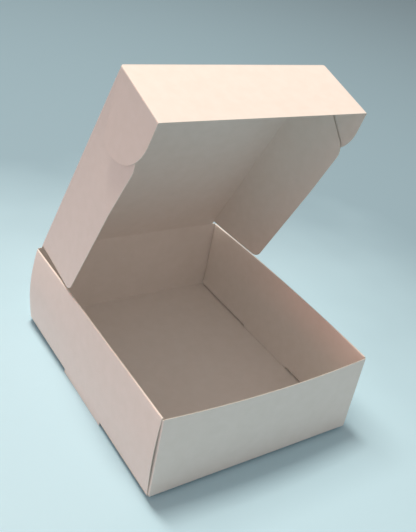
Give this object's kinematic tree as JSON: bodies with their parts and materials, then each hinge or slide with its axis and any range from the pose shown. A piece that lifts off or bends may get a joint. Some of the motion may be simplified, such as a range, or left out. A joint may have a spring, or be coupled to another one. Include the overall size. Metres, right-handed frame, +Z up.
{
  "type": "folding card gift box",
  "caption": "Open one-piece card gift box: a shallow tray with rolled side walls and a hinged lid with side flaps and an eared tuck flap, for packing and sending gifts.",
  "frame": {"origin": "middle of the footprint, on the surface the box stands on", "axes": "+X to the right, +Y to the hinge at the back, +Z up"},
  "size_m": [0.2, 0.24, 0.2906],
  "materials": {
    "white_card": "matt white box board"
  },
  "bodies": {
    "tray": {"tray": "white_card"},
    "lid": {"lid_panel": "white_card"},
    "flap_left": {"side_flap_left": "white_card"},
    "flap_right": {"side_flap_right": "white_card"},
    "tuck": {"tuck_flap": "white_card"}
  },
  "joints": [
    {"name": "lid_hinge", "type": "hinge", "parent": "tray", "child": "lid", "pos_m": [0, 0.11975, 0.07887], "axis": [-1, 0, 0], "range_deg": [-63.4, 110]},
    {"name": "tuck_fold", "type": "hinge", "parent": "lid", "child": "tuck", "pos_m": [0, 0.01385, 0.29034], "axis": [-1, 0, 0], "range_deg": [-22, 40]},
    {"name": "flap_left_fold", "type": "hinge", "parent": "lid", "child": "flap_left", "pos_m": [-0.095, 0.11953, 0.07876], "axis": [0, -0.4478, 0.8942], "range_deg": [0, 75]},
    {"name": "flap_right_fold", "type": "hinge", "parent": "lid", "child": "flap_right", "pos_m": [0.095, 0.11953, 0.07876], "axis": [0, 0.4478, -0.8942], "range_deg": [0, 75]}
  ],
  "couplings": [
    {"joint": "tuck_fold", "follows": "lid_hinge", "ratio": 0.33}
  ]
}
